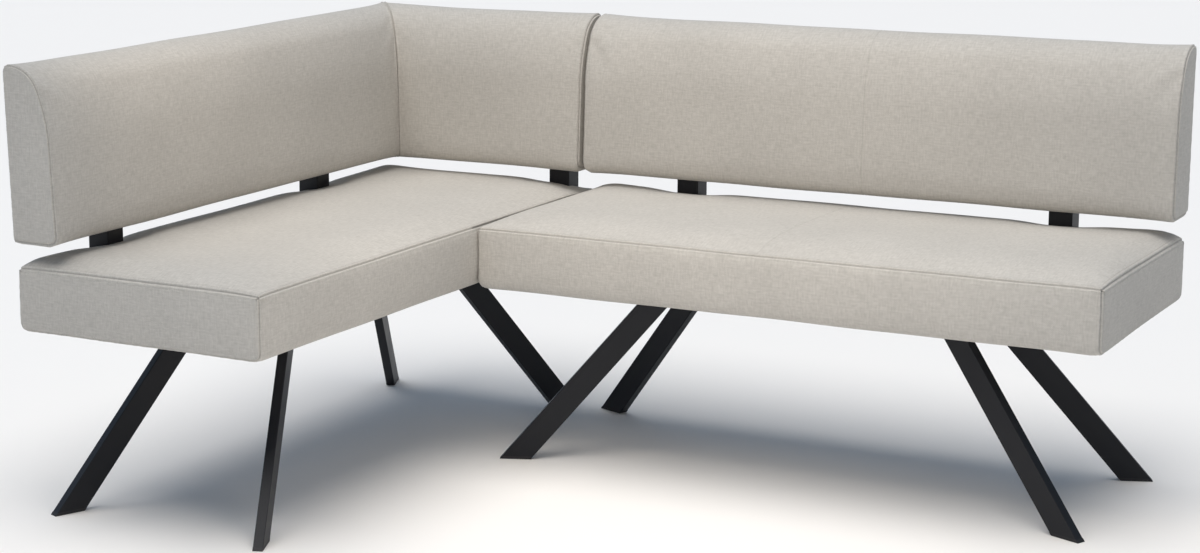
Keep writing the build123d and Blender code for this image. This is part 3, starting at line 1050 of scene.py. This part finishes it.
@dataclass(kw_only=True)
class SeatCushion(SewnBody):
    """A boxed seat: rounded edges, crowned top, sides that swell between their seams, and dips at the posts.

    The crown rises over rise from the front, over roll from the rear and over start_rise and finish_rise from
    the ends. Join is where a joining seam crosses the top, and butted is how far the next seat butts on the
    front, where a painted shadow darkens its top edge; both are 0 where there is none.
    """

    depth: float
    low: float
    high: float
    posts: tuple[tuple[float, float], ...]
    bulge: float = 2.4 * MM
    join: float = 0.0
    butted: float = 0.0
    radii: tuple[float, ...] = (13.0 * MM, 13.0 * MM, 10.0 * MM, 12.0 * MM)
    crown: float = 18.0 * MM
    rise: float = 260.0 * MM
    roll: float = 45.0 * MM
    start_rise: float = 45.0 * MM
    finish_rise: float = 45.0 * MM
    sag: float = 2.0 * MM
    sag_from: float = -0.2
    dip: float = 6.0 * MM
    dip_reach: float = 55.0 * MM
    post_half: float = 25.0 * MM
    tuck: float = 5.0 * MM
    tuck_reach: float = 15.0 * MM

    def outline(self) -> Outline:
        """Draw an upright box with rounded edges, less the swell that is added later.

        Returns:
            The section.
        """
        rear, front = self.bulge, self.depth - self.bulge
        corners = ((rear, self.low), (front, self.low), (front, self.high), (rear, self.high))
        return Outline(corners, self.radii, (0, 1, 2, 3))

    def long_seams(self) -> list[Edge]:
        """The front and the rear top edge."""
        return [Edge.FRONT_TOP, Edge.REAR_TOP]

    def cross_seams(self) -> list[tuple[float, SeamKind]]:
        """List both end edges, and the joining seam of the long seat's top.

        Returns:
            Where on the path each seam is, and its kind.
        """
        first, last = self.end_seams()
        if self.join:
            return [first, (self.join, SeamKind.JOIN), (last[0], SeamKind.BUTTED)]
        return [first, last]

    def seam_gaps(self, lattice: Lattice) -> list[tuple[np.ndarray, np.ndarray, Seam]]:
        """Keep the join to the top, and add painted shade at the corners and the painted shadow of the butted
        seat.

        Args:
            lattice: stations of the body.

        Returns:
            For each seam, the points' distance from it and along it, and the seam.
        """
        path, ring, marks = lattice.path[:, None], lattice.ring[None, :], lattice.marks
        on_top = (ring > marks[Edge.FRONT_TOP]) & (ring < marks[Edge.REAR_TOP])
        gaps = []
        for gap, along, seam in super().seam_gaps(lattice):
            shown = on_top if seam is SeamKind.JOIN.value else True
            gaps.append((np.where(shown, gap, AWAY), along, seam))
        # Painted shade: a dark spot where each end seam meets a long seam.
        for place, _ in self.end_seams():
            for edge in self.long_seams():
                gaps.append((np.hypot(path - place, ring - marks[edge]), path, SeamKind.PAINTED_CORNER_SHADE.value))
        # Painted shadow: the front top edge is drawn darker where the next seat butts on.
        gap = np.where(path < self.butted, ring - marks[Edge.FRONT_TOP], AWAY)
        return gaps + [(gap, path, SeamKind.SHADOW.value)]

    def shape(self, along: np.ndarray, forward: np.ndarray, up: np.ndarray) -> np.ndarray:
        """Swell the box, crown it and dip it at the posts.

        Each side moves out by the bulge times one less the square of the height's share, fading to its ends.
        The top rises to the crown along a cubic from each edge. A post draws the top down in a bell curve of
        the distance from its foot, each lower corner is tucked up in a bell curve of the distance from its
        upright edge, and the hem sags towards the front.

        Args:
            along: distance along the lane.
            forward: distance forward.
            up: height.

        Returns:
            Points of the bench's frame.
        """
        along, forward, up = np.broadcast_arrays(along, forward, up)
        x = 2 * along / self.length - 1
        y = 2 * forward / self.depth - 1
        z = 2 * (up - self.low) / (self.high - self.low) - 1
        barrel = np.clip(1 - z * z, 0, 1)
        top = np.clip((z + 1) / 2, 0, 1)
        drop = np.zeros_like(up)
        for post_along, post_forward in self.posts:
            off = np.hypot(
                np.maximum(np.abs(along - post_along) - self.post_half, 0),
                np.maximum(np.abs(forward - post_forward) - self.post_half, 0),
            )
            drop += self.dip * bell(off, self.dip_reach)
        from_finish, from_front = self.length - along, self.depth - forward
        off = np.hypot(np.minimum(along, from_finish), np.minimum(forward, from_front))
        tuck = self.tuck * bell(off, self.tuck_reach) * (1 - top) ** 4
        lift = self.crown * top
        edges = (forward, from_front, along, from_finish)
        for distance, reach in zip(edges, (self.roll, self.rise, self.start_rise, self.finish_rise)):
            lift = lift * (1 - (1 - np.clip(distance / reach, 0, 1)) ** 3)
        return self.lane.place(
            along + self.bulge * x * barrel * np.clip(1 - y**4, 0, 1),
            forward + self.bulge * y * barrel * np.clip(1 - x**8, 0, 1),
            up + lift - drop * top + tuck - self.sag * ease(y, self.sag_from, 1.0) * (1 - top),
        )


@dataclass(kw_only=True)
class Backrest(SewnBody):
    """A straight backrest: leaning rear, swept shoulder, rolled crest and rounded lower end corners."""

    base: float
    edge: SeamKind = SeamKind.BACK_EDGE
    front: float = 105.0 * MM
    height: float = 347.5 * MM
    foot: float = -4.0 * MM
    lean: float = -15.0 * MM
    shoulder: tuple[float, float] = (92.0 * MM, 245.5 * MM)
    crest: float = 52.0 * MM
    radii: tuple[float, ...] = (8.0 * MM, 20.0 * MM, 300.0 * MM, 73.5 * MM, 14.0 * MM)
    start_lift: float = 16.0 * MM
    finish_lift: float = 16.0 * MM
    lift_height: float = 60.0 * MM
    lift_share: float = 0.97

    def outline(self) -> Outline:
        """Draw the leaning section over the gap between seat and back.

        Returns:
            The section, whose shoulder lies within its front side.
        """
        low, top = self.base, self.base + self.height
        shoulder = (self.shoulder[0], low + self.shoulder[1])
        corners = ((self.foot, low), (self.front, low), shoulder, (self.crest, top), (self.lean, top))
        return Outline(corners, self.radii, (0, 1, 3, 4))

    def cross_seams(self) -> list[tuple[float, SeamKind]]:
        """Both end edges, one butted on the corner unit, and the faint joining seam at mid-length."""
        first, last = self.end_seams()
        return [first, (self.course() / 2, SeamKind.JOIN), (last[0], SeamKind.BUTTED)]

    def raise_corner(self, from_end: np.ndarray, up: np.ndarray, reach: float) -> np.ndarray:
        """Lift the lower edge near a free end along nearly a quarter circle, fading out upwards.

        Args:
            from_end: distance from the end.
            up: height.
            reach: radius of the circle.

        Returns:
            New height.
        """
        across = np.clip(1 - from_end / reach, 0, 1)
        lift = reach * (1 - np.sqrt(1 - across**2 * self.lift_share))
        return up + lift * (1 - ease(up, self.base, self.base + self.lift_height))

    def shape(self, along: np.ndarray, forward: np.ndarray, up: np.ndarray) -> np.ndarray:
        """Turn distances along, forward and up into points, with both lower corners raised."""
        up = self.raise_corner(along, up, self.start_lift)
        return self.lane.place(along, forward, self.raise_corner(self.length - along, up, self.finish_lift))


@dataclass(kw_only=True)
class MitredBack(Backrest):
    """The corner unit's backrest: a side run along its lane and a rear run, which meet in a mitre."""

    rear_lane: Lane
    rear_length: float

    def spans(self) -> tuple[float, float, float]:
        """Path lengths of an end edge, the side run and the rear run, along the front faces."""
        side, rear = (length - self.end_radius - self.front for length in (self.length, self.rear_length))
        return math.pi * self.end_radius / 2, side, rear

    def course(self) -> float:
        """Length of the path along both runs, round the two end edges."""
        edge, side, rear = self.spans()
        return 2 * edge + side + rear

    def cross_seams(self) -> list[tuple[float, SeamKind]]:
        """List both end edges and the mitre.

        Returns:
            Where on the path each seam is, and its kind.
        """
        edge, side, _ = self.spans()
        first, last = self.end_seams()
        return [first, (edge + side, SeamKind.MITRE), last]

    def lay(self, path: np.ndarray, section: np.ndarray, normal: np.ndarray) -> np.ndarray:
        """Carry the section along both runs, sheared so that one ring lies in the mitre plane.

        Args:
            path: stations along the path.
            section: forward and up of each station round the outline.
            normal: outward normals of the section there.

        Returns:
            Points by path, then round.
        """
        edge, side, rear = self.spans()
        near, far, forward, up = self.rounded(path, section, normal)
        path, near, far = path[:, None], near[:, None], far[:, None]
        share = np.clip((path - edge) / side, 0, 1)
        on_side = (1 - share) * (self.length - self.end_radius) + share * forward
        on_side = np.where(path < edge, self.length - near, on_side)
        share = np.clip((path - edge - side) / rear, 0, 1)
        on_rear = (1 - share) * (self.rear_length - forward) + share * self.end_radius
        on_rear = np.where(path > edge + side + rear, far, on_rear)
        side_up = self.raise_corner(self.length - on_side, up, self.start_lift)
        side_points = self.lane.place(on_side, forward, side_up)
        rear_points = self.rear_lane.place(on_rear, forward, self.raise_corner(on_rear, up, self.finish_lift))
        return np.where((path <= edge + side)[..., None], side_points, rear_points)

    def close(self, panel: np.ndarray, end: End) -> np.ndarray:
        """Place an end panel upright across its run.

        Args:
            panel: forward and up of the panel's points.
            end: the end that it closes.

        Returns:
            Points by flat and upright share.
        """
        if end is End.START:
            lane, along, lift = self.lane, self.length, self.start_lift
        else:
            lane, along, lift = self.rear_lane, 0.0, self.finish_lift
        return lane.place(along, panel[..., 0], self.raise_corner(0.0, panel[..., 1], lift))


@dataclass
class Bench:
    """The whole bench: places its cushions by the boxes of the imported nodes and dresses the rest."""

    seat_top: float = 500.0 * MM
    seat_end_radius: float = 9.0 * MM
    back_end_radius: float = 6.0 * MM
    back_hang: float = 5.5 * MM
    join_offset: float = 35.0 * MM

    def cushions(self) -> list[SewnBody]:
        """Place the four sewn bodies: the lanes start at the rear corners of the two seats.

        Returns:
            The bodies, in the order in which they are built.
        """
        corner_low, corner_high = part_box("corner_seat_cover")
        long_low, long_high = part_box("long_seat_cover")
        back_low, back_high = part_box("long_back_cover")
        rear = corner_high.y
        side_lane = Lane((corner_low.x, rear), (0.0, -1.0), (1.0, 0.0))
        rear_lane = Lane((corner_high.x, rear), (-1.0, 0.0), (0.0, -1.0))
        long_lane = Lane((long_high.x, rear), (-1.0, 0.0), (0.0, -1.0))
        corner_depth, corner_length = corner_high.x - corner_low.x, corner_high.y - corner_low.y
        long_length = long_high.x - long_low.x
        seat = {"end_radius": self.seat_end_radius, "low": long_low.z, "high": self.seat_top}
        back = {"end_radius": self.back_end_radius, "base": back_low.z - self.back_hang}
        corner_posts = ("side_post_front", "side_post_rear", "corner_post")
        return [
            SeatCushion(
                name="corner_seat_cushion",
                stands_for=("corner_seat_cover", "corner_seat_foam"),
                lane=side_lane,
                length=corner_length,
                depth=corner_depth,
                posts=tuple(side_lane.measure(post) for post in corner_posts),
                butted=corner_depth,
                rise=150.0 * MM,
                start_rise=75.0 * MM,
                finish_rise=75.0 * MM,
                **seat,
            ),
            SeatCushion(
                name="long_seat_cushion",
                stands_for=("long_seat_cover", "long_seat_foam"),
                lane=long_lane,
                length=long_length,
                depth=long_high.y - long_low.y,
                posts=tuple(long_lane.measure(post) for post in ("long_post_left", "long_post_right")),
                join=long_length / 2 + self.join_offset,
                crown=19.5 * MM,
                start_rise=60.0 * MM,
                finish_rise=85.0 * MM,
                sag=5.0 * MM,
                tuck=10.0 * MM,
                **seat,
            ),
            MitredBack(
                name="corner_back_cushion",
                stands_for=("corner_back_cover", "corner_back_side_foam", "corner_back_rear_foam"),
                start_lift=8.0 * MM,
                lane=side_lane,
                length=corner_length,
                rear_lane=rear_lane,
                rear_length=corner_depth,
                **back,
            ),
            Backrest(
                name="long_back_cushion",
                stands_for=("long_back_cover", "long_back_foam"),
                start_lift=10.0 * MM,
                lane=long_lane,
                length=back_high.x - back_low.x,
                **back,
            ),
        ]

    def dress(self) -> int:
        """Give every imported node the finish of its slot.

        Returns:
            How many nodes there are.
        """
        for part in frame["record"]["subparts"]:
            materials = frame["nodes"][part["node"]].data.materials
            materials.clear()
            materials.append(SLOT_FINISHES[part["material_slot"]].material())
        return len(frame["record"]["subparts"])


def look(place: tuple[float, float, float], way: tuple[float, float, float]) -> Matrix:
    """Stand at a place and look a way, upright.

    Args:
        place: where it stands.
        way: direction of view.

    Returns:
        Matrix whose -Z looks the way.
    """
    ahead = np.array(way) / np.linalg.norm(way)
    right = np.cross(ahead, (0.0, 0.0, 1.0))
    right /= np.linalg.norm(right)
    up = np.cross(right, ahead)
    rows = [[right[k], up[k], -ahead[k], place[k]] for k in range(3)]
    return Matrix(rows + [[0.0, 0.0, 0.0, 1.0]])


class LampKind(Enum):
    """Kinds of lamp, by Blender's names: light from far away, or from a soft box."""

    FAR = "SUN"
    BOX = "AREA"


@dataclass(frozen=True)
class Lamp:
    """A studio lamp. A far one has an apparent width in degrees, a soft box has two sides in metres."""

    name: str
    kind: LampKind
    place: tuple[float, float, float]
    way: tuple[float, float, float]
    power: float
    colour: str
    sides: tuple[float, float] = (1.0, 1.0)
    width: float = 56.0

    def hang(self) -> None:
        """Put the lamp into the scene, out of the camera's sight."""
        lamp = bpy.data.lights.new(self.name, self.kind.value)
        lamp.energy = self.power
        lamp.color = linear(self.colour)[:3]
        if self.kind is LampKind.FAR:
            lamp.angle = math.radians(self.width)
        else:
            lamp.shape = "RECTANGLE"
            lamp.size, lamp.size_y = self.sides
        holder = bpy.data.objects.new(self.name, lamp)
        holder.matrix_world = look(self.place, self.way)
        holder.visible_camera = False
        bpy.context.scene.collection.objects.link(holder)


@dataclass(frozen=True)
class PhotoCamera:
    """The photograph's camera: place in metres, angles in radians, focal length and centre in pixels."""

    place: tuple[float, float, float] = (2.30400, -4.56906, 1.49495)
    yaw: float = 0.518052
    pitch: float = 0.196870
    roll: float = -0.004868
    focal: float = 2631.6
    centre: tuple[float, float] = (480.733, 264.801)
    image: tuple[int, int] = (1200, 553)
    sensor: float = 36.0
    far: float = 200.0

    def stand(self) -> None:
        """Put the camera into the scene and make it the scene's own."""
        lens = bpy.data.cameras.new("photo_camera")
        lens.sensor_width = self.sensor
        lens.lens = self.focal / self.image[0] * self.sensor
        lens.shift_x = (self.image[0] / 2 - self.centre[0]) / self.image[0]
        lens.shift_y = (self.centre[1] - self.image[1] / 2) / self.image[0]
        lens.clip_end = self.far
        camera = bpy.data.objects.new("photo_camera", lens)
        level = math.cos(self.pitch)
        way = (-math.sin(self.yaw) * level, math.cos(self.yaw) * level, -math.sin(self.pitch))
        camera.matrix_world = look(self.place, way) @ Matrix.Rotation(self.roll, 4, "Z")
        bpy.context.scene.collection.objects.link(camera)
        bpy.context.scene.camera = camera


@dataclass(frozen=True)
class Studio:
    """Pale floor, a cool sky that is dimmer on one side, and soft lamps above and before the bench."""

    sky: str = "#9CB0C8"
    dim_side: tuple[float, float, float] = (0.9, -0.4, 0.0)
    sky_power: tuple[float, float] = (0.97, 0.28)
    floor_reach: float = 30.0
    floor_level: float = -0.3 * MM
    lamps: tuple[Lamp, ...] = (
        Lamp("overhead_light", LampKind.FAR, (0.0, 0.0, 6.0), (0.0, 0.16, -1.0), 2.62, "#FFFBF6"),
        Lamp("strip_light", LampKind.BOX, (0.05, -0.6, 1.3), (-0.02, 1.0, -0.12), 6.2, "#FFF0DC", (1.5, 0.6)),
        Lamp("inner_fill", LampKind.BOX, (0.6, -1.0, 0.75), (-1.0, 0.5, -0.05), 2.6, "#FFF4E8", (0.6, 0.6)),
        Lamp("front_fill", LampKind.BOX, (1.3, -2.2, 0.5), (-0.25, 1.0, 0.0), 2.0, "#FFFFFF", (0.8, 0.8)),
    )

    def lay_floor(self) -> None:
        """Lay a wide floor just under the glides."""
        sides = np.array([(-1, -1), (1, -1), (1, 1), (-1, 1)]) * self.floor_reach
        floor = new_mesh("studio_floor", np.insert(sides, 2, self.floor_level, axis=1), np.arange(4)[None, :])
        floor.data.materials.append(FLOOR_PAINT.material())

    def light(self) -> None:
        """Light the sky and hang the lamps."""
        scene = bpy.context.scene
        scene.view_settings.view_transform = "Standard"
        scene.world = bpy.data.worlds.new("studio_sky")
        scene.world.use_nodes = True
        tree = scene.world.node_tree
        tree.nodes.clear()
        way = add_node(tree, "TexCoord", {}, "Generated")
        side = add_node(tree, "VectorMath", {0: way, 1: self.dim_side}, "Value", operation="DOT_PRODUCT")
        fall = {"Value": side, "From Min": -1.0, "To Min": self.sky_power[0], "To Max": self.sky_power[1]}
        power = add_node(tree, "MapRange", fall)
        sky = add_node(tree, "Background", {"Color": linear(self.sky), "Strength": power})
        add_node(tree, "OutputWorld", {"Surface": sky})
        for lamp in self.lamps:
            lamp.hang()


def main() -> None:
    """Build the bench and its studio, and report each piece."""
    logging.basicConfig(level=logging.INFO, format="%(name)s: %(message)s", force=True)
    bench = Bench()
    LOG.info("%d packed nodes dressed", bench.dress())
    for body in bench.cushions():
        for piece in body.build():
            LOG.info("%s: %d faces", piece.name, len(piece.data.polygons))
    studio = Studio()
    studio.lay_floor()
    studio.light()
    PhotoCamera().stand()


if __name__ == "__main__":
    main()
